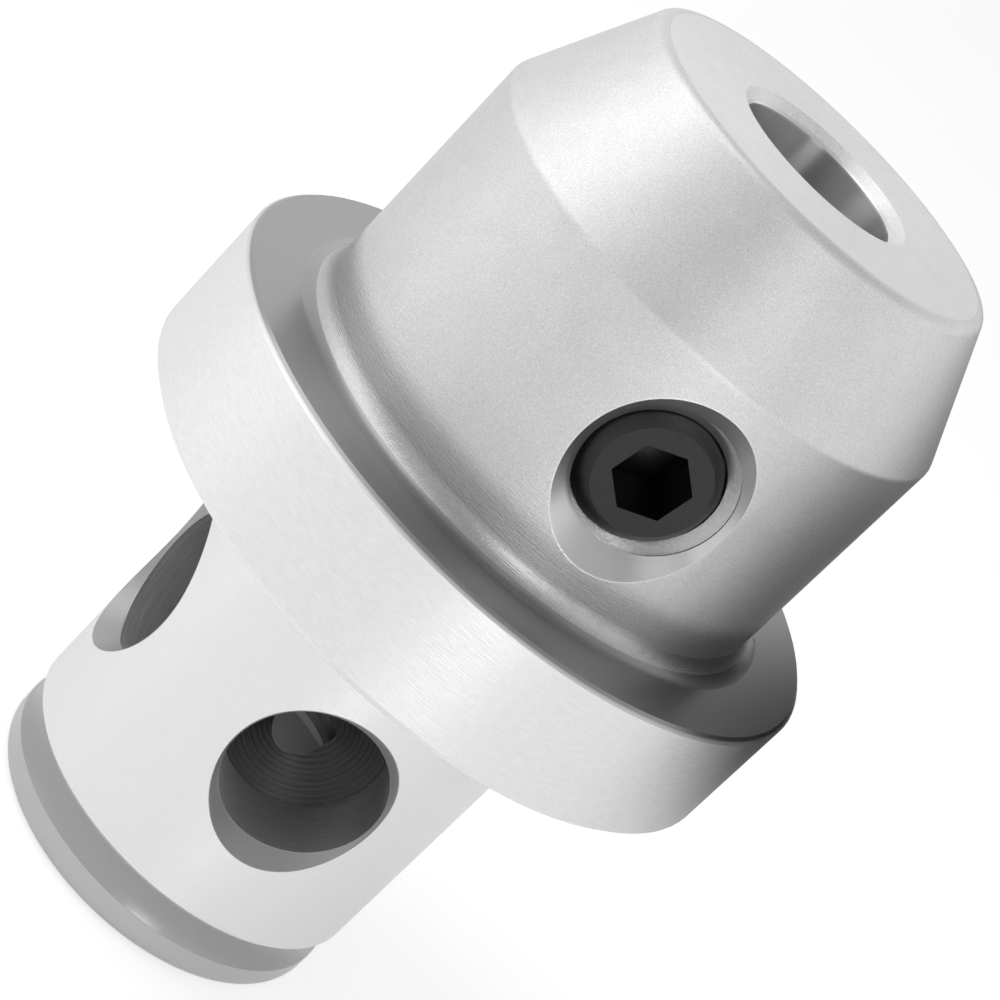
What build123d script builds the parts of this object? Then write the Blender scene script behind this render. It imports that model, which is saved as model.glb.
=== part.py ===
from build123d import *
import os
from math import radians, tan

# An extension holder for cutters with a flatted shank. All sizes are in millimetres.
# The axis is Z. The origin is the centre of the flange's rear contact face, +Z points to the nose,
# and the clamping screw comes in along the row axis -Y.

# Flange
flange_diameter = 63.0
flange_thickness = 13.0
flange_front_chamfer = 0.5
flange_rear_chamfer = 0.8

# Body in front of the flange
body_diameter = 48.0
gauge_length = 49.0  # contact face to nose face
cone_length = 12.0
nose_diameter = 36.4  # where the cone would meet the nose face with no rounding
nose_edge_radius = 1.2
cone_edge_radius = 1.0
foot_radius = 2.0

# Pilot behind the flange
pilot_diameter = 36.0
pilot_length = 40.2
ground_length = 33.3  # where the ground part ends, from the contact face
ground_end_chamfer = 0.4
groove_depth = 0.65  # below the ground surface
bead_drop = 0.35  # below the ground surface
bead_length = 3.2
bead_radius = 1.8

# Undercut in the corner of the pilot and the contact face
undercut_width = 2.5
undercut_depth = 0.3
undercut_run_out = 15.0
undercut_bevel = 0.5
undercut_face_width = 1.3
undercut_face_depth = 0.2

# Tool bore and the axial passage behind it
bore_diameter = 16.0
bore_depth = 50.0
bore_chamfer = 1.0
core_diameter = 13.8  # core of the axial M16 thread
recess_diameter = 17.0
recess_depth = 15.0
recess_chamfer = 0.6

# Clamping screw and its hole
screw_diameter = 14.0
screw_length = 14.0
screw_clearance = 0.05
screw_retreat = 0.2  # point of the backed-out screw, from the wall of the tool bore
screw_from_nose = 22.9
screw_sink_diameter = 17.4
screw_sink_angle = 90.0
screw_head_chamfer = 2.05
screw_point_chamfer = 2.0
socket_across_flats = 6.0
socket_depth = 6.5
socket_turn = 79.0  # one corner of the hexagon, from +X towards +Z
socket_floor_angle = 120.0

# Conical cross holes of the pilot
cross_hole_count = 4
cross_hole_diameter = 14.7
cross_hole_height = 17.35  # behind the contact face
cross_hole_floor = 9.0  # where the straight wall ends, from the axis
cross_drill_angle = 118.0
cross_sink_diameter = 17.5
cross_sink_angle = 70.0

# How far a cutter runs past the surface that it leaves
overrun = 5.0

# Places worked out from the sizes
flange_radius = flange_diameter / 2
body_radius = body_diameter / 2
nose_radius = nose_diameter / 2
pilot_radius = pilot_diameter / 2
bore_radius = bore_diameter / 2
core_radius = core_diameter / 2
recess_radius = recess_diameter / 2
screw_radius = screw_diameter / 2
screw_hole_radius = screw_radius + screw_clearance
screw_height = gauge_length - screw_from_nose
screw_point = bore_radius + screw_retreat
cross_hole_radius = cross_hole_diameter / 2
cone_start = gauge_length - cone_length
undercut_floor = pilot_radius - undercut_depth
bead_outer_radius = pilot_radius - bead_drop


def cone_run(radius_change, full_angle):
    """Length along its axis over which a cone of that full angle changes its radius so much."""
    return radius_change / tan(radians(full_angle / 2))


def profile(points):
    """Straight lines in the XZ plane through points of radius and height."""
    return Polyline(*[(radius, 0, height) for radius, height in points])


def turned_section(points):
    """A closed half section in the XZ plane from points of radius and height."""
    return make_face(profile([*points, points[0]]))


def corner(face, radius, height):
    """The corner of a half section at that radius and height."""
    return face.vertices().sort_by_distance((radius, 0, height))[0]


def raw_section():
    """Half section of the turned holder with sharp corners, solid to the axis."""
    ground_end_radius = pilot_radius - ground_end_chamfer
    groove_top = -ground_length - ground_end_chamfer
    groove_floor = pilot_radius - groove_depth
    bead_top = bead_length - pilot_length
    run_out_length = cone_run(undercut_depth, 2 * undercut_run_out)
    end = profile([
        (0, gauge_length),
        (0, -pilot_length),
        (bead_outer_radius, -pilot_length),
        (bead_outer_radius, bead_top),
    ])
    groove = ThreePointArc(
        (bead_outer_radius, 0, bead_top),
        (groove_floor, 0, (bead_top + 2 * groove_top) / 3),
        (ground_end_radius, 0, groove_top),
    )
    front = profile([
        (ground_end_radius, groove_top),
        (pilot_radius, -ground_length),
        (pilot_radius, -undercut_width),
        (undercut_floor, run_out_length - undercut_width),
        (undercut_floor, undercut_face_depth),
        (pilot_radius + undercut_face_width, 0),
        (flange_radius, 0),
        (flange_radius, flange_thickness),
        (body_radius, flange_thickness),
        (body_radius, cone_start),
        (nose_radius, gauge_length),
        (0, gauge_length),
    ])
    return make_face([*end.edges(), *groove.edges(), *front.edges()])


def holder_section():
    """Half section of the turned holder with its corners rounded and bevelled."""
    section = raw_section()
    for radius, height, size in [
        (bead_outer_radius, -pilot_length, bead_radius),
        (body_radius, flange_thickness, foot_radius),
        (body_radius, cone_start, cone_edge_radius),
        (nose_radius, gauge_length, nose_edge_radius),
    ]:
        section = fillet(corner(section, radius, height), size)
    for radius, height, size in [
        (undercut_floor, undercut_face_depth, undercut_bevel),
        (flange_radius, 0, flange_rear_chamfer),
        (flange_radius, flange_thickness, flange_front_chamfer),
    ]:
        section = chamfer(corner(section, radius, height), size)
    return section


def axial_passage():
    """Tool bore, its drilled transition, the thread's core and the rear recess, as one cutter."""
    bore_floor = gauge_length - bore_depth
    core_top = bore_floor - (bore_radius - core_radius)
    recess_floor = recess_depth - pilot_length
    core_end = recess_floor + (recess_radius - core_radius)
    mouth_radius = bore_radius + bore_chamfer
    rear_radius = recess_radius + recess_chamfer
    return revolve(turned_section([
        (0, gauge_length + overrun),
        (mouth_radius, gauge_length + overrun),
        (mouth_radius, gauge_length),
        (bore_radius, gauge_length - bore_chamfer),
        (bore_radius, bore_floor),
        (core_radius, core_top),
        (core_radius, core_end),
        (recess_radius, recess_floor),
        (recess_radius, recess_chamfer - pilot_length),
        (rear_radius, -pilot_length),
        (rear_radius, -pilot_length - overrun),
        (0, -pilot_length - overrun),
    ]))


def sunk_hole(radius, floor, surface, sink_radius, sink_angle, tip):
    """A cutter along +Z: a tip below the floor, a straight wall, and a sink that opens at the surface."""
    wall_end = surface - cone_run(sink_radius - radius, sink_angle)
    outer_radius = sink_radius + overrun * tan(radians(sink_angle / 2))
    return revolve(turned_section([
        (0, floor - tip),
        (radius, floor),
        (radius, wall_end),
        (outer_radius, surface + overrun),
        (0, surface + overrun),
    ]))


def outward(height):
    """The place on the main axis at that height whose own Z points outward along -Y and Y points up."""
    return Plane(origin=(0, 0, height), x_dir=(1, 0, 0), z_dir=(0, -1, 0)).location


def screw_hole():
    """The clamping screw's hole, from the bore's axis out to its sink in the body."""
    return outward(screw_height) * sunk_hole(
        screw_hole_radius, 0, body_radius, screw_sink_diameter / 2, screw_sink_angle, 0)


def cross_holes():
    """The pilot's conical cross holes, evenly spaced, one of them in line with the clamping screw."""
    hole = outward(-cross_hole_height) * sunk_hole(
        cross_hole_radius,
        cross_hole_floor,
        pilot_radius,
        cross_sink_diameter / 2,
        cross_sink_angle,
        cone_run(cross_hole_radius, cross_drill_angle),
    )
    step = 360 / cross_hole_count
    return [Rot(0, 0, turn * step) * hole for turn in range(cross_hole_count)]


def holder_body():
    """The holder: one turned piece with its bores and cross holes."""
    return revolve(holder_section()) - axial_passage() - screw_hole() - cross_holes()


def hexagon_socket():
    """Cutter of the screw's hexagon socket with its drilled floor, with its mouth at Z = screw_length."""
    hexagon = RegularPolygon(socket_across_flats / 2, 6, major_radius=False, rotation=socket_turn)
    floor = screw_length - socket_depth
    drill_radius = socket_across_flats / 2
    drill_depth = cone_run(drill_radius, socket_floor_angle)
    drill = revolve(turned_section([(0, 0), (0, -drill_depth), (drill_radius, 0)]))
    return Pos(0, 0, floor) * (extrude(hexagon, socket_depth + overrun) + drill)


def clamping_screw():
    """The set screw with a flat point, backed out so far that its point just clears the tool bore."""
    blank = revolve(turned_section([
        (0, 0),
        (screw_radius - screw_point_chamfer, 0),
        (screw_radius, screw_point_chamfer),
        (screw_radius, screw_length - screw_head_chamfer),
        (screw_radius - screw_head_chamfer, screw_length),
        (0, screw_length),
    ]))
    return outward(screw_height) * Pos(0, 0, screw_point) * (blank - hexagon_socket())


os.makedirs("parts", exist_ok=True)
export_step(holder_body(), "parts/holder_body.step")
export_step(clamping_screw(), "parts/clamping_screw.step")
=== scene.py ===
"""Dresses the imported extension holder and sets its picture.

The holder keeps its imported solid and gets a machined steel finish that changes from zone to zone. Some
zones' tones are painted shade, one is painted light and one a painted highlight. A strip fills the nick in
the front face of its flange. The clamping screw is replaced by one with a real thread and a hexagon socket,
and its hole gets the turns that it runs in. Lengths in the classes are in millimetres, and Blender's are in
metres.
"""

import logging
import math
from dataclasses import dataclass, field
from enum import Enum
from typing import Any, Dict, List, Optional, Sequence, Tuple, Union

import bmesh
import bpy
from mathutils import Matrix, Vector


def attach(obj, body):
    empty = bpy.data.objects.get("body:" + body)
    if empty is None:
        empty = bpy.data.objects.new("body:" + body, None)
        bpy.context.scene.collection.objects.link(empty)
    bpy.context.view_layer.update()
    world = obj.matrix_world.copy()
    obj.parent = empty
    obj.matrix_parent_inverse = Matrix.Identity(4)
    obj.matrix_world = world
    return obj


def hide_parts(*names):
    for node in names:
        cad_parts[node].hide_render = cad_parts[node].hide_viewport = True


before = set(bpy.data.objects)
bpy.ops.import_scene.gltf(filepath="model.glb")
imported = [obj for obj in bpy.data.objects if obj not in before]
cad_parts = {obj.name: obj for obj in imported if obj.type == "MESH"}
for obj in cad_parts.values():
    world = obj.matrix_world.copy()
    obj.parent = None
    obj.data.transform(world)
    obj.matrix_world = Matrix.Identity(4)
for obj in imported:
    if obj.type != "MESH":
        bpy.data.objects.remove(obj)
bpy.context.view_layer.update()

LOG = logging.getLogger("holder")
MM = 0.001
SCREW_HEIGHT = 26.1
SCREW_PITCH = 2.0
THREAD_STEPS = 72
CROSS_HEIGHT = -17.35
CROSS_SINK_SLOPE = math.tan(math.radians(35))
CROSS_TIP_SLOPE = math.tan(math.radians(59))
FLANGE_TOP = 13.0
QUARTER_TURN = 0.25
SHARP_ANGLE = math.radians(32)
WELD = 0.00001
Range = Tuple[float, float]
Colour = Tuple[float, float, float]
Feed = Union[bpy.types.NodeSocket, float, Sequence[float]]


class Body(Enum):
    """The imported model's moving bodies."""

    HOLDER = "holder"
    SCREW = "screw"


class Slot(Enum):
    """The material slots' names."""

    STEEL = "holder_steel"
    BLACK = "black_oxide_steel"


class Measure(Enum):
    """What a zone of the holder's surface is told by, in millimetres."""

    RADIUS = "Radius"
    HEIGHT = "Height"
    CROSS_DISTANCE = "Cross Distance"
    CROSS_DEPTH = "Cross Depth"
    CROSS_CONE = "Cross Cone"
    CROSS_TIP = "Cross Tip"
    SCREW_DISTANCE = "Screw Distance"
    SCREW_DEPTH = "Screw Depth"
    SCREW_CONE = "Screw Cone"


class ShaderTree:
    """Builds nodes in one node tree with short calls."""

    def __init__(self, tree: bpy.types.NodeTree) -> None:
        """Keeps the tree that the nodes go into."""
        self.tree = tree

    def feed(self, socket: bpy.types.NodeSocket, value: Feed) -> None:
        """Links a socket's value to an input, or sets the input where the value is a constant.

        Args:
            socket: The input.
            value: Another node's output, a number or a row of numbers.
        """
        if isinstance(value, bpy.types.NodeSocket):
            self.tree.links.new(value, socket)
        else:
            socket.default_value = value

    def node(self, kind: str, inputs: Optional[Dict[Any, Feed]] = None, **settings: Any) -> bpy.types.Node:
        """Adds one node.

        Args:
            kind: The node's type name.
            inputs: Values of its inputs by name or place.
            **settings: The node's own properties.

        Returns:
            The new node.
        """
        made = self.tree.nodes.new(kind)
        for name, value in settings.items():
            setattr(made, name, value)
        for key, value in (inputs or {}).items():
            self.feed(made.inputs[key], value)
        return made

    def math(self, operation: str, a: Feed, b: Feed = 0.0, c: Feed = 0.0, clamp: bool = False) -> Feed:
        """Adds a Math node.

        Args:
            operation: The node's operation.
            a: First value.
            b: Second value.
            c: Third value.
            clamp: Whether the result is kept from 0 to 1.

        Returns:
            The node's output.
        """
        made = self.node("ShaderNodeMath", {0: a, 1: b, 2: c}, operation=operation, use_clamp=clamp)
        return made.outputs[0]

    def vector(self, operation: str, a: Feed, b: Feed = (0, 0, 0), scale: Feed = 1.0) -> bpy.types.Node:
        """Adds a Vector Math node.

        Args:
            operation: The node's operation.
            a: First vector.
            b: Second vector, where the operation has one.
            scale: The factor of a SCALE.

        Returns:
            The node.
        """
        made = self.node("ShaderNodeVectorMath", {0: a}, operation=operation)
        if operation == "SCALE":
            self.feed(made.inputs["Scale"], scale)
        elif operation not in ("LENGTH", "NORMALIZE", "ABSOLUTE"):
            self.feed(made.inputs[1], b)
        return made

    def join(self, x: Feed, y: Feed, z: Feed) -> Feed:
        """A vector from three numbers."""
        return self.node("ShaderNodeCombineXYZ", {0: x, 1: y, 2: z}).outputs[0]

    def parts(self, vector: Feed) -> Any:
        """The three numbers of a vector."""
        return self.node("ShaderNodeSeparateXYZ", {0: vector}).outputs

    def colour(self, red: Feed, green: Feed, blue: Feed) -> Feed:
        """A colour from three numbers."""
        return self.node("ShaderNodeCombineColor", {0: red, 1: green, 2: blue}).outputs[0]

    def fill(self, node: bpy.types.Node, values: Dict[str, Feed]) -> None:
        """Feeds several inputs of a node by their names."""
        for name, value in values.items():
            self.feed(node.inputs[name], value)

    def rise(self, value: Feed, low: Feed, high: Feed, start: Feed = 0.0, end: Feed = 1.0) -> Feed:
        """A smooth step.

        Args:
            value: The number that it follows.
            low: Where the step starts.
            high: Where it ends.
            start: The result below the step.
            end: The result above it.

        Returns:
            The step's value.
        """
        made = self.node("ShaderNodeMapRange", {0: value, 1: low, 2: high, 3: start, 4: end},
                         interpolation_type="SMOOTHSTEP")
        return made.outputs[0]

    def blend(self, factor: Feed, a: Feed, b: Feed) -> Feed:
        """A number that goes from a to b with the factor."""
        return self.node("ShaderNodeMix", {0: factor, 2: a, 3: b}, data_type="FLOAT").outputs[0]

    def noise(self, place: Feed, detail: float = 2.0, roughness: float = 0.5) -> Feed:
        """Noise from 0 to 1 with one cell a unit.

        Args:
            place: The coordinates.
            detail: Number of finer octaves.
            roughness: Their strength.

        Returns:
            The noise's value.
        """
        made = self.node("ShaderNodeTexNoise", {"Vector": place, "Scale": 1.0, "Detail": detail,
                                                "Roughness": roughness})
        return made.outputs[0]

    def group(self, tree: bpy.types.NodeTree, inputs: Optional[Dict[str, Feed]] = None) -> bpy.types.Node:
        """Places a node group with its own values."""
        made = self.tree.nodes.new("ShaderNodeGroup")
        made.node_tree = tree
        for key, value in (inputs or {}).items():
            self.feed(made.inputs[key], value)
        return made


class EffectGroup(ShaderTree):
    """A shader node group with named inputs and outputs."""

    def __init__(self, name: str, inputs: Dict[str, str], outputs: Dict[str, str]) -> None:
        """Makes the empty group.

        Args:
            name: The group's name.
            inputs: Input names and their kinds, such as Float or Vector.
            outputs: Output names and their kinds.
        """
        super().__init__(bpy.data.node_groups.new(name, "ShaderNodeTree"))
        for way, sockets in (("INPUT", inputs), ("OUTPUT", outputs)):
            for label, kind in sockets.items():
                self.tree.interface.new_socket(name=label, in_out=way, socket_type="NodeSocket" + kind)
        self.given = self.tree.nodes.new("NodeGroupInput").outputs
        self.result = self.tree.nodes.new("NodeGroupOutput").inputs


@dataclass(frozen=True)
class Grain:
    """Marks that run round an axis: how long each is and how far it is to the next, in millimetres."""

    streak: float
    pitch: float


class SteelGroups:
    """The node groups that the steel finishes share."""

    def __init__(self) -> None:
        """Builds every group once."""
        self.place = self._place()
        self.band = self._band()
        self.grain = self._grain()
        self.blast = self._blast()
        self.turns = self._turns()

    def within(self, tree: ShaderTree, value: Feed, limits: Range, softness: float) -> Feed:
        """A mask in a material's tree that is 1 while a value is between two limits.

        Args:
            tree: The material's tree.
            value: The value.
            limits: The lowest and the highest value.
            softness: Over how much it falls off outside them.

        Returns:
            The mask.
        """
        low, high = limits
        return tree.group(self.band, {"Value": value, "Low": low, "High": high,
                                      "Softness": softness}).outputs[0]

    def marks(self, tree: ShaderTree, place: Feed, along: Feed, grain: Grain) -> Feed:
        """Grain in a material's tree.

        Args:
            tree: The material's tree.
            place: The point's place in millimetres.
            along: The value that it varies along.
            grain: Its size.

        Returns:
            The grain, centred on 0.
        """
        return tree.group(self.grain, {"Place": place, "Along": along, "Streak": grain.streak,
                                       "Pitch": grain.pitch}).outputs[0]

    def pits(self, tree: ShaderTree, place: Feed, size: float) -> Feed:
        """Pits of one size in a material's tree, centred on 0."""
        return tree.group(self.blast, {"Place": place, "Pit": size}).outputs[0]

    def ridges(self, tree: ShaderTree, along: Feed, turn: Feed, pitch: float) -> Feed:
        """Even ridges in a material's tree, from 0 to 1, which climb with a turn."""
        return tree.group(self.turns, {"Along": along, "Turn": turn, "Pitch": pitch}).outputs[0]

    @staticmethod
    def _place() -> bpy.types.NodeTree:
        """Where a point is on the holder: on the turned form, in its cross hole and in the screw's hole."""
        group = EffectGroup("Place on the Holder", {"Cross Height": "Float", "Screw Height": "Float"},
                            {"Place": "Vector", "Turn": "Float", **{item.value: "Float" for item in Measure}})
        source = group.node("ShaderNodeTexCoord").outputs["Object"]
        place = group.vector("SCALE", source, scale=1 / MM).outputs[0]
        x, y, z = group.parts(place)
        wide = group.math("ABSOLUTE", x)
        deep = group.math("ABSOLUTE", y)
        cross_rise = group.math("SUBTRACT", z, group.given["Cross Height"])
        screw_rise = group.math("SUBTRACT", z, group.given["Screw Height"])
        side = group.math("MINIMUM", wide, deep)
        cross = group.vector("LENGTH", group.join(side, cross_rise, 0.0)).outputs["Value"]
        cross_depth = group.math("MAXIMUM", wide, deep)
        screw = group.vector("LENGTH", group.join(x, screw_rise, 0.0)).outputs["Value"]
        values = {
            "Place": place,
            "Radius": group.vector("LENGTH", group.join(x, y, 0.0)).outputs["Value"],
            "Height": z,
            "Turn": group.math("DIVIDE", group.math("ARCTAN2", y, x), 2 * math.pi),
            "Cross Distance": cross,
            "Cross Depth": cross_depth,
            "Cross Cone": group.math("MULTIPLY_ADD", cross_depth, -CROSS_SINK_SLOPE, cross),
            "Cross Tip": group.math("MULTIPLY_ADD", cross_depth, -CROSS_TIP_SLOPE, cross),
            "Screw Distance": screw,
            "Screw Depth": group.math("MULTIPLY", y, -1.0),
            "Screw Cone": group.math("ADD", screw, y),
        }
        for name, value in values.items():
            group.feed(group.result[name], value)
        return group.tree

    @staticmethod
    def _band() -> bpy.types.NodeTree:
        """A mask that is 1 between two values and falls off over a softness outside them."""
        group = EffectGroup("Band", {"Value": "Float", "Low": "Float", "High": "Float", "Softness": "Float"},
                            {"Mask": "Float"})
        given = group.given
        below = group.math("SUBTRACT", given["Low"], given["Softness"])
        above = group.math("ADD", given["High"], given["Softness"])
        rising = group.rise(given["Value"], below, given["Low"])
        falling = group.rise(given["Value"], given["High"], above, 1.0, 0.0)
        group.feed(group.result["Mask"], group.math("MULTIPLY", rising, falling))
        return group.tree

    @staticmethod
    def _grain() -> bpy.types.NodeTree:
        """Grinding and turning grain that runs round the axis, centred on 0."""
        group = EffectGroup("Circular Grain", {"Place": "Vector", "Along": "Float", "Streak": "Float",
                                               "Pitch": "Float"}, {"Grain": "Float"})
        given = group.given
        x, y, _ = group.parts(given["Place"])
        across = group.math("DIVIDE", given["Along"], given["Pitch"])
        place = group.join(group.math("DIVIDE", x, given["Streak"]),
                           group.math("DIVIDE", y, given["Streak"]), across)
        group.feed(group.result["Grain"], group.math("SUBTRACT", group.noise(place, 2.0), 0.5))
        return group.tree

    @staticmethod
    def _blast() -> bpy.types.NodeTree:
        """The fine pits of a blasted surface, centred on 0."""
        group = EffectGroup("Blasted Pits", {"Place": "Vector", "Pit": "Float"}, {"Height": "Float"})
        given = group.given
        near = group.vector("SCALE", given["Place"], scale=group.math("DIVIDE", 1.0, given["Pit"])).outputs[0]
        group.feed(group.result["Height"], group.math("SUBTRACT", group.noise(near, 2.0, 0.6), 0.5))
        return group.tree

    @staticmethod
    def _turns() -> bpy.types.NodeTree:
        """A saw of even ridges along a value, which climb with a turn to make a thread; from 0 to 1."""
        group = EffectGroup("Even Turns", {"Along": "Float", "Turn": "Float", "Pitch": "Float"},
                            {"Height": "Float"})
        given = group.given
        lead = group.math("SUBTRACT", group.math("DIVIDE", given["Along"], given["Pitch"]), given["Turn"])
        saw = group.math("PINGPONG", lead, 0.5)
        group.feed(group.result["Height"], group.math("MULTIPLY", saw, 2.0))
        return group.tree


@dataclass(frozen=True)
class Zone:
    """A part of the holder's surface with its own tone and roughness. Some tones hold painted shade, one
    painted light and one a painted highlight.
    """

    name: str
    ranges: Dict[Measure, Range]
    tone: float
    roughness: float
    softness: float = 0.03


@dataclass(frozen=True)
class MachinedSteel:
    """The holder's steel: blasted in front of the flange, ground on the rim, pilot and bore."""

    tone: float = 0.75
    roughness: float = 0.5
    anisotropy: float = 0.3
    ground_anisotropy: float = 0.65
    bore_anisotropy: float = 0.97
    tint: Colour = (0.992, 0.996, 1.0)
    cross_height: float = CROSS_HEIGHT
    screw_height: float = SCREW_HEIGHT
    grain: Grain = Grain(0.9, 0.17)
    fine_grain: Grain = Grain(2.5, 0.05)
    feed_grain: Grain = Grain(3.0, 0.2)
    pit: float = 0.13
    patch: float = 3.0
    thread_pitch: float = 2.0
    turning_pitch: float = 0.17
    ring_pitch: float = 0.45
    foot_band: Range = (14.5, 18.0)
    foot_softness: float = 8.0
    broken_contrast: float = 5.0

    @staticmethod
    def zones() -> List[Zone]:
        """The zones in the order in which they are laid over the blasted steel."""
        radius, height = Measure.RADIUS, Measure.HEIGHT
        cross, cross_depth = Measure.CROSS_DISTANCE, Measure.CROSS_DEPTH
        screw, screw_depth = Measure.SCREW_DISTANCE, Measure.SCREW_DEPTH
        cross_cone, cross_tip, screw_cone = Measure.CROSS_CONE, Measure.CROSS_TIP, Measure.SCREW_CONE
        return [
            Zone("nose face", {height: (48.3, 50), radius: (8.3, 17.2)}, 0.85, 0.54, 0.15),
            # Painted shade: the foot's tone is darker than the blasted steel, for the shade where the body
            # meets the flange.
            Zone("foot", {height: (15.0, 16.5), radius: (23.8, 24.1)}, 0.48, 0.46, 2.5),
            Zone("foot ring", {height: (13.3, 14.7), radius: (24.05, 24.75)}, 0.50, 0.36, 0.08),
            Zone("turned steel", {height: (-41, 12.95)}, 0.55, 0.38),
            # Partly painted shade: the flange face's lower roughness is its own finish, and its low tone is
            # painted shade for the shade and dark reflection that the body gives it.
            Zone("flange face", {height: (12.72, 13.42), radius: (24.76, 31.2)}, 0.34, 0.30, 0.06),
            Zone("front chamfer", {height: (12.5, 12.64), radius: (31.36, 31.5)}, 0.72, 0.45, 0.12),
            Zone("rim", {height: (0.8, 12.5), radius: (31.3, 32)}, 0.92, 0.30),
            # Painted light: the rear chamfer's tone is lighter than the rim's, to lift the shade that it
            # mirrors from the floor under the flange.
            Zone("rear chamfer", {height: (0.03, 0.77), radius: (30.68, 31.5)}, 0.98, 0.55),
            Zone("contact face", {height: (-0.03, 0.03), radius: (19.3, 30.7)}, 0.78, 0.3),
            Zone("pilot", {height: (-33.3, -2.5), radius: (17.9, 18.1)}, 0.92, 0.26),
            # Painted shade: the groove's tone is far darker than the ground pilot's, for the shade in the
            # groove.
            Zone("groove", {height: (-37.0, -33.72), radius: (16.5, 18)}, 0.40, 0.24, 0.1),
            Zone("ground end", {height: (-33.7, -33.3), radius: (17.5, 18)}, 0.85, 0.40),
            Zone("bead", {height: (-40.1, -37.1), radius: (15.5, 18)}, 0.58, 0.16, 0.1),
            # Painted shade: the recess and its step are darker than the steel is, for the shade inside the
            # pilot's end.
            Zone("recess step", {height: (-25.19, -23.65), radius: (6.95, 8.5)}, 0.62, 0.30),
            Zone("recess", {height: (-40.0, -25.2), radius: (8.3, 8.6)}, 0.45, 0.40),
            Zone("cross sink", {cross_cone: (-3.9, -3.81), cross_depth: (15.8, 18.1)}, 0.45, 0.50),
            Zone("cross wall", {cross: (7.3, 7.4), cross_depth: (8.95, 16.05)}, 0.55, 0.60),
            # Painted shade: the drill point at the bottom of the cross hole is nearly black, for the shade
            # deep in the hole.
            Zone("cross tip", {cross_tip: (-7.69, -7.57), radius: (6.93, 12)}, 0.06, 0.45),
            Zone("screw sink", {screw_cone: (-15.36, -15.25), screw_depth: (21, 24.2)}, 0.70, 0.31),
            # Painted highlight: the sink's outer edge is lighter than the sink and the body, for the glint of
            # its edge.
            Zone("screw sink edge", {screw_cone: (-15.23, -15.18), radius: (23.9, 24.1)}, 0.88, 0.30),
            Zone("screw hole", {screw: (6.9, 7.12), screw_depth: (7.5, 22.3)}, 0.40, 0.40),
            Zone("bore", {height: (-1.0, 48.0), radius: (7.0, 8.03)}, 0.58, 0.36),
            Zone("bore edge", {height: (47.9, 48.15), radius: (7.9, 8.15)}, 0.76, 0.34, 0.15),
            # Painted shade: the threaded core deep in the bore is much darker than the steel is, for the
            # shade there.
            Zone("core", {height: (-25.0, -1.02), radius: (6.0, 6.92)}, 0.17, 0.35),
        ]

    def build(self, groups: SteelGroups) -> bpy.types.Material:
        """Makes the material.

        Args:
            groups: The shared node groups.

        Returns:
            The material.
        """
        material, tree, shader = new_material("machined_steel")
        place = tree.group(groups.place, {"Cross Height": self.cross_height,
                                          "Screw Height": self.screw_height}).outputs
        masks = {zone.name: self._mask(tree, groups, place, zone) for zone in self.zones()}
        tone: Feed = self.tone
        roughness: Feed = self.roughness
        for zone in self.zones():
            tone = tree.blend(masks[zone.name], tone, zone.tone)
            roughness = tree.blend(masks[zone.name], roughness, zone.roughness)
        patterns = self._patterns(tree, groups, place)
        masks.update(self._finishes(tree, place, masks))
        tone = self._shade(tree, tone, [(patterns["grain"], masks["rim"], 0.08),
                                        (patterns["grain"], masks["pilot"], 0.03),
                                        (patterns["feed"], masks["bored"], 0.20),
                                        (patterns["pits"], masks["blasted"], 0.30),
                                        (patterns["patches"], masks["blasted"], 0.05)])
        height = self._height(tree, groups, place, masks, patterns)
        colour = tree.colour(*[tree.math("MULTIPLY", tone, part) for part in self.tint])
        bump = tree.node("ShaderNodeBump", {"Height": height, "Distance": MM, "Strength": 1.0}).outputs[0]
        tangent = tree.node("ShaderNodeTangent", direction_type="RADIAL", axis="Z").outputs[0]
        ground = tree.blend(masks["ground"], self.anisotropy, self.ground_anisotropy)
        tree.fill(shader, {"Base Color": colour, "Metallic": 1.0, "Roughness": roughness, "Normal": bump,
                           "Tangent": tangent,
                           "Anisotropic": tree.blend(masks["bore"], ground, self.bore_anisotropy),
                           "Anisotropic Rotation": QUARTER_TURN})
        return material

    def _patterns(self, tree: ShaderTree, groups: SteelGroups, place: Any) -> Dict[str, Feed]:
        """The patterns that vary the tone and the height, each centred on 0."""
        point = place["Place"]
        along = tree.math("ADD", place["Radius"], place["Height"])
        across = tree.math("ADD", place["Cross Distance"], place["Cross Depth"])
        return {
            "grain": groups.marks(tree, point, along, self.grain),
            "fine": groups.marks(tree, point, along, self.fine_grain),
            "feed": groups.marks(tree, point, across, self.feed_grain),
            "pits": groups.pits(tree, point, self.pit),
            "patches": groups.pits(tree, point, self.patch),
        }

    def _finishes(self, tree: ShaderTree, place: Any, masks: Dict[str, Feed]) -> Dict[str, Feed]:
        """The masks of the blasted, the ground and the bored surfaces, from those of the zones."""
        cut = self._any(tree, masks, ("flange face", "screw sink", "screw hole", "bore", "bore edge"))
        raised = tree.rise(place["Height"], FLANGE_TOP - 0.02, FLANGE_TOP)
        return {
            "blasted": tree.math("SUBTRACT", raised, cut, clamp=True),
            "ground": self._any(tree, masks, ("rim", "contact face", "pilot", "bead")),
            "bored": self._any(tree, masks, ("cross wall", "cross tip")),
        }

    @staticmethod
    def _mask(tree: ShaderTree, groups: SteelGroups, place: Any, zone: Zone) -> Feed:
        """The mask of one zone, from the bands of its measures."""
        mask: Feed = 1.0
        for measure, limits in zone.ranges.items():
            band = groups.within(tree, place[measure.value], limits, zone.softness)
            mask = band if mask == 1.0 else tree.math("MULTIPLY", mask, band)
        return mask

    @staticmethod
    def _any(tree: ShaderTree, masks: Dict[str, Feed], names: Sequence[str]) -> Feed:
        """The mask of several zones together."""
        together: Feed = 0.0
        for name in names:
            together = tree.math("MAXIMUM", together, masks[name])
        return together

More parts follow.
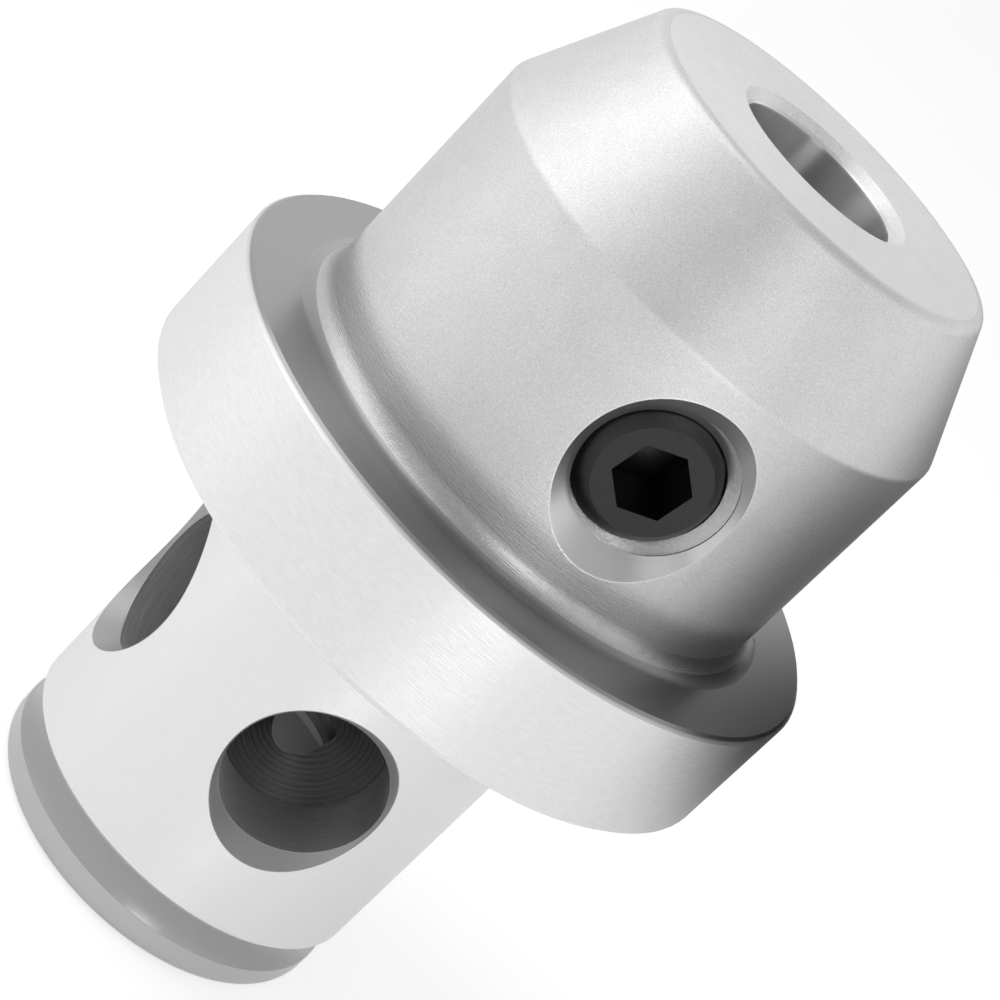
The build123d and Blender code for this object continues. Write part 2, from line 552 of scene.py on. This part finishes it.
    @staticmethod
    def _shade(tree: ShaderTree, tone: Feed, layers: Sequence[Tuple[Feed, Feed, float]]) -> Feed:
        """Varies a tone by patterns, each with its mask and strength."""
        for pattern, mask, strength in layers:
            change = tree.math("MULTIPLY", tree.math("MULTIPLY", pattern, mask), strength * 2)
            tone = tree.math("MULTIPLY_ADD", tone, change, tone)
        return tone

    def _height(self, tree: ShaderTree, groups: SteelGroups, place: Any, masks: Dict[str, Feed],
                patterns: Dict[str, Feed]) -> Feed:
        """The height of the surface's marks in millimetres.

        Args:
            tree: The material's tree.
            groups: The shared node groups.
            place: Outputs of the place group.
            masks: The masks by name.
            patterns: The patterns by name.

        Returns:
            The height.
        """
        turning = groups.ridges(tree, place["Height"], 0.0, self.turning_pitch)
        broken = tree.math("MULTIPLY_ADD", patterns["grain"], self.broken_contrast, 0.5, clamp=True)
        rings = groups.ridges(tree, place["Cross Distance"], 0.0, self.ring_pitch)
        thread = groups.ridges(tree, place["Height"], place["Turn"], self.thread_pitch)
        foot = groups.within(tree, place["Height"], self.foot_band, self.foot_softness)
        foot = tree.math("MULTIPLY", tree.math("MULTIPLY", foot, masks["blasted"]), broken)
        height: Feed = 0.0
        for pattern, mask, depth in [
            (patterns["pits"], masks["blasted"], 0.018),
            (patterns["grain"], masks["ground"], 0.0015),
            (patterns["fine"], masks["ground"], 0.02),
            (patterns["feed"], masks["bored"], 0.03),
            (turning, foot, 0.013),
            (rings, masks["cross tip"], 0.015),
            (thread, masks["core"], 0.3),
        ]:
            height = tree.math("MULTIPLY_ADD", tree.math("MULTIPLY", pattern, mask), depth, height)
        return height


def new_material(name: str) -> Tuple[bpy.types.Material, ShaderTree, bpy.types.Node]:
    """A node material with its Principled shader.

    Args:
        name: The material's name.

    Returns:
        The material, its tree and its shader.
    """
    material = bpy.data.materials.new(name)
    material.use_nodes = True
    tree = ShaderTree(material.node_tree)
    return material, tree, material.node_tree.nodes["Principled BSDF"]


@dataclass(frozen=True)
class BlackOxide:
    """The screw's black oxide: dark and a little blue, with fine pits and turning grain."""

    tone: float = 0.055
    tone_change: float = 0.02
    blue: float = 1.05
    roughness: float = 0.42
    roughness_change: float = 0.15
    pit: float = 0.25
    pit_depth: float = 0.01
    grain: Grain = Grain(3.0, 0.12)
    grain_depth: float = 0.006
    screw_height: float = SCREW_HEIGHT

    def build(self, groups: SteelGroups) -> bpy.types.Material:
        """Makes the material."""
        material, tree, shader = new_material("black_oxide")
        place = tree.group(groups.place, {"Screw Height": self.screw_height}).outputs
        grain = groups.marks(tree, place["Place"], place["Screw Distance"], self.grain)
        pits = groups.pits(tree, place["Place"], self.pit)
        tone = tree.math("MULTIPLY_ADD", pits, self.tone_change, self.tone)
        colour = tree.colour(tone, tone, tree.math("MULTIPLY", tone, self.blue))
        roughness = tree.math("MULTIPLY_ADD", grain, self.roughness_change, self.roughness)
        height = tree.math("ADD", tree.math("MULTIPLY", pits, self.pit_depth),
                           tree.math("MULTIPLY", grain, self.grain_depth))
        bump = tree.node("ShaderNodeBump", {"Height": height, "Distance": MM}).outputs[0]
        tree.fill(shader, {"Base Color": colour, "Metallic": 1.0, "Roughness": roughness, "Normal": bump})
        return material


@dataclass(frozen=True)
class TappedSteel:
    """Cut thread in the holder's steel, with the sink's finish where the sink cuts it off."""

    tone: float = 0.55
    roughness: float = 0.36
    change: float = 0.2
    blue: float = 1.01
    pit: float = 0.35
    pit_depth: float = 0.03
    sink_tone: float = 0.70
    sink_roughness: float = 0.31
    sink_pit_depth: float = 0.004
    sink_band: Range = (-15.36, -15.24)
    sink_softness: float = 0.04
    screw_height: float = SCREW_HEIGHT

    def build(self, groups: SteelGroups) -> bpy.types.Material:
        """Makes the material."""
        material, tree, shader = new_material("tapped_steel")
        place = tree.group(groups.place, {"Screw Height": self.screw_height}).outputs
        pits = groups.pits(tree, place["Place"], self.pit)
        sunk = groups.within(tree, place["Screw Cone"], self.sink_band, self.sink_softness)
        tone = tree.blend(sunk, tree.math("MULTIPLY_ADD", pits, self.change, self.tone), self.sink_tone)
        rough = tree.blend(sunk, tree.math("MULTIPLY_ADD", pits, self.change, self.roughness),
                           self.sink_roughness)
        height = tree.math("MULTIPLY", pits, tree.blend(sunk, self.pit_depth, self.sink_pit_depth))
        colour = tree.colour(tone, tone, tree.math("MULTIPLY", tone, self.blue))
        bump = tree.node("ShaderNodeBump", {"Height": height, "Distance": MM}).outputs[0]
        tree.fill(shader, {"Base Color": colour, "Metallic": 1.0, "Roughness": rough, "Normal": bump})
        return material


@dataclass
class ScrewThread:
    """A coarse metric thread along an axis, as a profile that a spin with a lead sweeps."""

    pitch: float = SCREW_PITCH
    steps: int = THREAD_STEPS
    start: float = 0.0

    def sweep(self, mesh: bmesh.types.BMesh, profile: Sequence[Tuple[float, float]], turns: int) -> None:
        """Sweeps a profile of radius and height round Z.

        Args:
            mesh: Where the thread goes.
            profile: Points of radius and height in millimetres, in the XZ plane.
            turns: How many turns it makes.
        """
        verts = [mesh.verts.new((radius * MM, 0, (height + self.start) * MM)) for radius, height in profile]
        edges = [mesh.edges.new(pair) for pair in zip(verts, verts[1:])]
        bmesh.ops.spin(mesh, geom=verts + edges, cent=(0, 0, 0), axis=(0, 0, 1),
                       dvec=(0, 0, self.pitch * MM / self.steps), angle=2 * math.pi * turns,
                       steps=self.steps * turns, use_merge=False, use_normal_flip=False, use_duplicate=False)


def outward(height: float) -> Matrix:
    """The place on the main axis at a height whose own Z points out along -Y and own Y points up."""
    return Matrix.Translation((0, 0, height * MM)) @ Matrix.Rotation(math.pi / 2, 4, "X")


def finish_mesh(mesh: bmesh.types.BMesh, name: str, material: bpy.types.Material) -> bpy.types.Object:
    """Turns a bmesh into a smooth-shaded object with faces that point outward.

    Args:
        mesh: The bmesh, which is freed.
        name: The object's name.
        material: Its material.

    Returns:
        The new object, linked to the scene.
    """
    bmesh.ops.remove_doubles(mesh, verts=mesh.verts, dist=WELD)
    bmesh.ops.recalc_face_normals(mesh, faces=mesh.faces)
    for face in mesh.faces:
        face.smooth = True
    for edge in mesh.edges:
        edge.smooth = edge.calc_face_angle(0.0) < SHARP_ANGLE
    data = bpy.data.meshes.new(name)
    mesh.to_mesh(data)
    mesh.free()
    piece = bpy.data.objects.new(name, data)
    piece.data.materials.append(material)
    bpy.context.scene.collection.objects.link(piece)
    return piece


@dataclass
class ClampingScrew:
    """The M14 set screw with a flat point and a hexagon socket."""

    crest_radius: float = 6.97
    root_radius: float = 5.86
    pitch: float = SCREW_PITCH
    point: float = 8.2
    length: float = 14.0
    head_chamfer: float = 2.05
    point_chamfer: float = 2.0
    socket_across_flats: float = 6.0
    socket_depth: float = 6.5
    socket_turn: float = 79.0
    socket_cone: float = 1.2
    phase: float = 0.57
    weld: float = 0.004
    level: float = 0.002
    height: float = SCREW_HEIGHT
    steps: int = THREAD_STEPS

    def build(self, material: bpy.types.Material) -> bpy.types.Object:
        """Builds the screw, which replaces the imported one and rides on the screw's body.

        Args:
            material: The black oxide finish.

        Returns:
            The screw.
        """
        mesh = bmesh.new()
        self._thread(mesh)
        bmesh.ops.holes_fill(mesh, edges=self._rim(mesh, 0.0), sides=0)
        self._head(mesh, self.length * MM)
        bmesh.ops.transform(mesh, matrix=outward(self.height) @ Matrix.Translation((0, 0, self.point * MM)),
                            verts=mesh.verts)
        piece = finish_mesh(mesh, "clamping_screw_threaded", material)
        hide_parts("clamping_screw")
        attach(piece, Body.SCREW.value)
        return piece

    def _thread(self, mesh: bmesh.types.BMesh) -> None:
        """Sweeps the thread over more than the screw's length, cuts its ends and bevels them."""
        crest, root, pitch = self.crest_radius, self.root_radius, self.pitch
        flank = (root + crest) / 2
        shares = [(root, 0.0), (root, 0.1), (root, 0.2), (flank, 0.3625), (crest, 0.525), (crest, 0.6),
                  (crest, 0.675), (flank, 0.8375), (root, 1.0)]
        profile = [(radius, share * pitch) for radius, share in shares]
        start = self.phase - 2 * pitch
        turns = int(self.length / pitch) + 3
        ScrewThread(pitch, self.steps, start).sweep(mesh, profile, turns)
        bmesh.ops.remove_doubles(mesh, verts=mesh.verts, dist=self.weld * MM)
        for place, way in ((0.0, -1), (self.length * MM, 1)):
            bmesh.ops.bisect_plane(mesh, geom=mesh.verts[:] + mesh.edges[:] + mesh.faces[:],
                                   plane_co=(0, 0, place), plane_no=(0, 0, way), clear_outer=True)
        for vert in mesh.verts:
            radius = math.hypot(vert.co.x, vert.co.y)
            head = crest * MM - max(0.0, vert.co.z - (self.length - self.head_chamfer) * MM)
            tip = crest * MM - max(0.0, self.point_chamfer * MM - vert.co.z)
            limit = min(head, tip)
            if radius > limit:
                vert.co.x *= limit / radius
                vert.co.y *= limit / radius

    def _rim(self, mesh: bmesh.types.BMesh, place: float) -> List[bmesh.types.BMEdge]:
        """The open edges of the thread at one end."""
        return [edge for edge in mesh.edges if edge.is_boundary
                and all(abs(vert.co.z - place) < self.level * MM for vert in edge.verts)]

    def _head(self, mesh: bmesh.types.BMesh, place: float) -> None:
        """Closes the head and sinks its hexagon socket.

        Args:
            mesh: The screw so far, open at its head.
            place: Where the head ends along the screw.
        """
        rim = self._rim(mesh, place)
        turned = Matrix.Rotation(math.radians(self.socket_turn - 90), 4, "Z")
        hexagon = bmesh.ops.create_circle(
            mesh, cap_ends=False, segments=6, radius=self.socket_across_flats / math.sqrt(3) * MM,
            matrix=Matrix.Translation((0, 0, place)) @ turned)
        mouth = list({edge for vert in hexagon["verts"] for edge in vert.link_edges})
        bmesh.ops.triangle_fill(mesh, use_beauty=True, use_dissolve=False, edges=rim + mouth)
        wall = bmesh.ops.extrude_edge_only(mesh, edges=mouth)["geom"]
        floor = [item for item in wall if isinstance(item, bmesh.types.BMVert)]
        bmesh.ops.translate(mesh, verts=floor, vec=(0, 0, -self.socket_depth * MM))
        lowest = [item for item in wall if isinstance(item, bmesh.types.BMEdge)]
        bottom = bmesh.ops.contextual_create(mesh, geom=lowest)["faces"]
        bmesh.ops.poke(mesh, faces=bottom, offset=-self.socket_cone * MM)


@dataclass
class ScrewHoleThread:
    """The turns of the tapped hole that show in front of the screw."""

    wall_radius: float = 7.1
    crest_radius: float = 6.0
    half_crest: float = 0.15
    half_root: float = 0.85
    flank_steps: int = 4
    pitch: float = SCREW_PITCH
    start: float = 8.6
    end: float = 22.4
    middle: float = 0.97
    sink: float = 15.29
    sliver: float = 0.005
    height: float = SCREW_HEIGHT
    steps: int = THREAD_STEPS

    def build(self, material: bpy.types.Material) -> bpy.types.Object:
        """Builds the turns, which ride on the holder and end at the cone of the hole's sink."""
        mesh = bmesh.new()
        rise = self.crest_radius - self.wall_radius
        radii = [self.wall_radius + rise * step / self.flank_steps for step in range(self.flank_steps + 1)]
        profile = [(radius, -self._half(radius)) for radius in radii]
        profile += [(radius, self._half(radius)) for radius in reversed(radii)] + profile[:1]
        first = math.floor(self.start / self.pitch - 2) * self.pitch + self.middle
        turns = int((self.end - first) / self.pitch) + 2
        ScrewThread(self.pitch, self.steps, first).sweep(mesh, profile, turns)
        for vert in mesh.verts:
            self._cut(vert)
        bmesh.ops.bisect_plane(mesh, geom=mesh.verts[:] + mesh.edges[:] + mesh.faces[:],
                               plane_co=(0, 0, self.start * MM), plane_no=(0, 0, -1), clear_outer=True)
        bmesh.ops.dissolve_degenerate(mesh, edges=mesh.edges, dist=self.sliver * MM)
        bmesh.ops.transform(mesh, matrix=outward(self.height), verts=mesh.verts)
        piece = finish_mesh(mesh, "screw_hole_thread", material)
        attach(piece, Body.HOLDER.value)
        return piece

    @property
    def _slope(self) -> float:
        """How much half of a turn's width grows with its radius."""
        return (self.half_root - self.half_crest) / (self.wall_radius - self.crest_radius)

    def _half(self, radius: float) -> float:
        """Half of a turn's width at a radius."""
        return self.half_crest + self._slope * (radius - self.crest_radius)

    def _cut(self, vert: bmesh.types.BMVert) -> None:
        """Moves a point of a turn to where the cone of the sink leaves it.

        Args:
            vert: A point of the swept turns, with the hole's axis as Z.
        """
        radius = math.hypot(vert.co.x, vert.co.y) / MM
        depth = vert.co.z / MM
        middle = self.middle + math.atan2(vert.co.y, vert.co.x) / (2 * math.pi) * self.pitch
        middle += round((depth - middle) / self.pitch) * self.pitch
        inner = (middle - self.half_crest + self._slope * self.crest_radius - self.sink) / (1 + self._slope)
        inner = min(max(inner, self.crest_radius), self.wall_radius)
        share = (self.wall_radius - radius) / (self.wall_radius - self.crest_radius)
        moved = self.wall_radius + (inner - self.wall_radius) * share
        side = 1 if depth > middle else -1
        vert.co.x *= moved / radius
        vert.co.y *= moved / radius
        vert.co.z = min(middle + side * self._half(moved), self.sink + moved) * MM


@dataclass
class HolderBody:
    """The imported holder, which keeps its solid and gets its finish."""

    node: str = "holder_body"

    def dress(self, material: bpy.types.Material) -> bpy.types.Object:
        """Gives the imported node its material."""
        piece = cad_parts[self.node]
        piece.data.materials.clear()
        piece.data.materials.append(material)
        return piece


@dataclass
class FlangeStrip:
    """A strip of the flange's front face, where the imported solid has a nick.

    The cutter of the screw's sink goes on beyond the body and takes a crescent out of the face. The strip
    fills it and ends just below the face, so that the two don't lie in one plane.
    """

    half_width: float = 4.3
    near: float = 28.2
    far: float = 29.3
    bottom: float = 12.2
    top: float = FLANGE_TOP - 0.002

    def build(self, material: bpy.types.Material) -> bpy.types.Object:
        """Builds the strip, which rides on the holder and lies flush in its face.

        Args:
            material: The holder's finish.

        Returns:
            The strip.
        """
        middle = Vector((0, -(self.near + self.far) / 2, (self.bottom + self.top) / 2)) * MM
        size = Vector((2 * self.half_width, self.far - self.near, self.top - self.bottom)) * MM
        mesh = bmesh.new()
        place = Matrix.Translation(middle) @ Matrix.Diagonal((*size, 1))
        bmesh.ops.create_cube(mesh, size=1.0, matrix=place)
        piece = finish_mesh(mesh, "flange_face_strip", material)
        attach(piece, Body.HOLDER.value)
        return piece


@dataclass
class Softbox:
    """A rectangular lamp that stands at an angle from the camera's side and looks at the holder."""

    name: str
    azimuth: float
    elevation: float
    distance: float
    width: float
    height: float
    radiance: float


@dataclass
class Studio:
    """Floor, world, dark card, lamps and camera."""

    floor_height: float = -40.2
    floor_radius: float = 3000.0
    floor_sides: int = 96
    floor_tone: float = 0.80
    floor_cloud: float = 0.02
    floor_clouds_per_metre: float = 30.0
    floor_roughness: float = 0.9
    floor_glow: float = 0.31
    floor_glow_to_camera: float = 0.55
    ambient: float = 0.45
    overhead_band: Range = (0.4, 0.85)
    overhead_level: float = 0.52
    front_band: Range = (0.3, 0.95)
    front_rise: Range = (0.05, 0.3)
    front_level: float = 0.24
    patch_way: Range = (-30.0, 38.0)
    patch_band: Range = (0.91, 0.99)
    patch_level: float = 0.75
    camera_azimuth: float = 21.15
    camera_elevation: float = 21.715
    camera_distance: float = 265.3
    camera_aim: float = 7.79
    camera_aside: float = 0.51
    camera_roll: float = 45.0
    lens: float = 110.0
    softboxes: List[Softbox] = field(default_factory=lambda: [
        Softbox("lamp_left", -78, 20, 450, 300, 380, 0.6),
        Softbox("lamp_high", -84, 58, 600, 420, 420, 1.15),
        Softbox("lamp_front", 26, 18, 500, 160, 380, 1.8),
    ])
    card_azimuth: float = 124.0
    card_distance: float = 50.0
    card_width: float = 160.0
    card_low: float = -40.0
    card_high: float = 80.0
    card_near: Range = (-75.0, -38.0)
    card_far: Range = (-6.0, 20.0)
    card_far_lean_from: float = 12.0
    card_foot: Range = (-20.0, 4.0)
    card_foot_slope: float = 0.25
    card_foot_lift: float = 5.0
    card_top: Range = (38.0, 52.0)
    card_top_slope: float = -0.3
    card_top_drop: float = 4.2
    card_tone: float = 0.03

    def build(self) -> None:
        """Sets up everything around the holder."""
        self._view_settings()
        self._world()
        self._floor()
        self._card()
        for softbox in self.softboxes:
            self._lamp(softbox)
        self._camera()

    @staticmethod
    def _view_settings() -> None:
        """Shows colours as they are."""
        bpy.context.scene.view_settings.view_transform = "Standard"

    def _direction(self, azimuth: float, elevation: float) -> Vector:
        """A direction from the holder, by its angle from the camera's side and its height."""
        turn = math.radians(self.camera_azimuth - azimuth)
        rise = math.radians(elevation)
        return Vector((-math.sin(turn) * math.cos(rise), -math.cos(turn) * math.cos(rise), math.sin(rise)))

    @staticmethod
    def _seen(tree: ShaderTree) -> Feed:
        """1 for the rays that show the white background: from the camera, mirrored or through glass."""
        path = tree.node("ShaderNodeLightPath").outputs
        seen = tree.math("MAXIMUM", path["Is Camera Ray"], path["Is Glossy Ray"])
        return tree.math("MAXIMUM", seen, path["Is Transmission Ray"])

    def _world(self) -> None:
        """A white background, which the steel mirrors darker overhead and in front, and its soft light."""
        world = bpy.data.worlds.new("studio")
        bpy.context.scene.world = world
        world.use_nodes = True
        tree = ShaderTree(world.node_tree)
        background = world.node_tree.nodes["Background"]
        background.inputs["Color"].default_value = (1, 1, 1, 1)
        path = tree.node("ShaderNodeLightPath").outputs
        place = tree.node("ShaderNodeTexCoord").outputs["Generated"]
        rise = tree.parts(place)[2]
        front = tree.vector("DOT_PRODUCT", place, self._direction(0, 0)).outputs["Value"]
        overhead = tree.rise(rise, *self.overhead_band, 1.0, self.overhead_level)
        dim = tree.math("MULTIPLY", tree.rise(front, *self.front_band), tree.rise(rise, *self.front_rise))
        mirrored = tree.math("MULTIPLY", overhead, tree.blend(dim, 1.0, self.front_level))
        near = tree.vector("DOT_PRODUCT", place, self._direction(*self.patch_way)).outputs["Value"]
        mirrored = tree.blend(tree.rise(near, *self.patch_band), mirrored, self.patch_level)
        seen = tree.blend(path["Is Camera Ray"], mirrored, 1.0)
        tree.feed(background.inputs["Strength"], tree.blend(self._seen(tree), self.ambient, seen))

    def _card(self) -> None:
        """A dark card beside the holder, which only the steel sees."""
        mesh = bmesh.new()
        way = self._direction(self.card_azimuth, 0.0)
        height = (self.card_low + self.card_high) / 2
        place = Matrix.Translation((way * self.card_distance + Vector((0, 0, height))) * MM)
        size = Matrix.Diagonal((self.card_width * MM / 2, (self.card_high - self.card_low) * MM / 2, 1, 1))
        bmesh.ops.create_grid(mesh, x_segments=1, y_segments=1, size=1.0,
                              matrix=place @ way.to_track_quat("Z", "Y").to_matrix().to_4x4() @ size)
        material, tree, shader = new_material("dark_card")
        source = tree.node("ShaderNodeTexCoord").outputs["Object"]
        place = tree.vector("SCALE", source, scale=1 / MM).outputs[0]
        up = tree.parts(place)[2]
        aside = tree.vector("DOT_PRODUCT", place, (-way.y, way.x, 0.0)).outputs["Value"]
        lean = tree.math("MAXIMUM", tree.math("SUBTRACT", up, self.card_far_lean_from), 0.0)
        low = tree.math("MULTIPLY_ADD", aside, self.card_foot_slope,
                        tree.math("ADD", up, self.card_foot_lift))
        high = tree.math("MULTIPLY_ADD", aside, self.card_top_slope,
                         tree.math("SUBTRACT", up, self.card_top_drop))
        tree.feed(shader.inputs["Base Color"], (self.card_tone, self.card_tone, self.card_tone, 1))
        sides = tree.math("MULTIPLY", tree.rise(aside, *self.card_near),
                          tree.rise(tree.math("SUBTRACT", aside, lean), *self.card_far, 1.0, 0.0))
        ends = tree.math("MULTIPLY", tree.rise(low, *self.card_foot),
                         tree.rise(high, *self.card_top, 1.0, 0.0))
        tree.feed(shader.inputs["Alpha"], tree.math("MULTIPLY", sides, ends))
        card = finish_mesh(mesh, "card", material)
        card.visible_camera = card.visible_diffuse = card.visible_shadow = False

    def _floor(self) -> None:
        """A pale floor that looks white and keeps the holder's shadow."""
        mesh = bmesh.new()
        bmesh.ops.create_circle(mesh, cap_ends=True, segments=self.floor_sides, radius=self.floor_radius * MM,
                                matrix=Matrix.Translation((0, 0, self.floor_height * MM)))
        material, tree, shader = new_material("pale_floor")
        place = tree.node("ShaderNodeTexCoord").outputs["Object"]
        cloud = tree.noise(tree.vector("SCALE", place, scale=self.floor_clouds_per_metre).outputs[0])
        tone = tree.math("MULTIPLY_ADD", cloud, self.floor_cloud, self.floor_tone)
        glow = tree.blend(tree.node("ShaderNodeLightPath").outputs["Is Camera Ray"], self.floor_glow,
                          self.floor_glow_to_camera)
        tree.fill(shader, {"Base Color": tree.colour(tone, tone, tone), "Roughness": self.floor_roughness,
                           "Specular IOR Level": 0.0, "Emission Color": (1, 1, 1, 1),
                           "Emission Strength": tree.math("MULTIPLY", self._seen(tree), glow)})
        finish_mesh(mesh, "floor", material)

    def _lamp(self, softbox: Softbox) -> None:
        """Stands one lamp where its angles say, turned to the holder."""
        data = bpy.data.lights.new(softbox.name, "AREA")
        data.shape = "RECTANGLE"
        data.size = softbox.width * MM
        data.size_y = softbox.height * MM
        data.energy = softbox.radiance * math.pi * data.size * data.size_y
        lamp = bpy.data.objects.new(softbox.name, data)
        way = self._direction(softbox.azimuth, softbox.elevation)
        lamp.location = way * softbox.distance * MM
        lamp.rotation_euler = way.to_track_quat("Z", "Y").to_euler()
        bpy.context.scene.collection.objects.link(lamp)

    def _camera(self) -> None:
        """Puts the camera where the photograph was taken from, with its roll."""
        data = bpy.data.cameras.new("camera")
        data.lens = self.lens
        data.clip_start = 0.01
        camera = bpy.data.objects.new("camera", data)
        way = self._direction(0.0, self.camera_elevation)
        facing = way.to_track_quat("Z", "Y")
        aside = facing @ Vector((self.camera_aside * MM, 0, 0))
        camera.location = Vector((0, 0, self.camera_aim * MM)) + way * self.camera_distance * MM + aside
        roll = Matrix.Rotation(math.radians(self.camera_roll), 4, "Z")
        camera.rotation_euler = (facing.to_matrix().to_4x4() @ roll).to_euler()
        bpy.context.scene.collection.objects.link(camera)
        bpy.context.scene.camera = camera


def main() -> None:
    """Builds the studio, dresses the holder and reports each piece."""
    logging.basicConfig(level=logging.INFO, format="%(name)s: %(message)s")
    groups = SteelGroups()
    Studio().build()
    steel = MachinedSteel().build(groups)
    pieces = [
        HolderBody().dress(steel),
        FlangeStrip().build(steel),
        ClampingScrew().build(BlackOxide().build(groups)),
        ScrewHoleThread().build(TappedSteel().build(groups)),
    ]
    for piece in pieces:
        LOG.info("%s: %d faces", piece.name, len(piece.data.polygons))


if __name__ == "__main__":
    main()
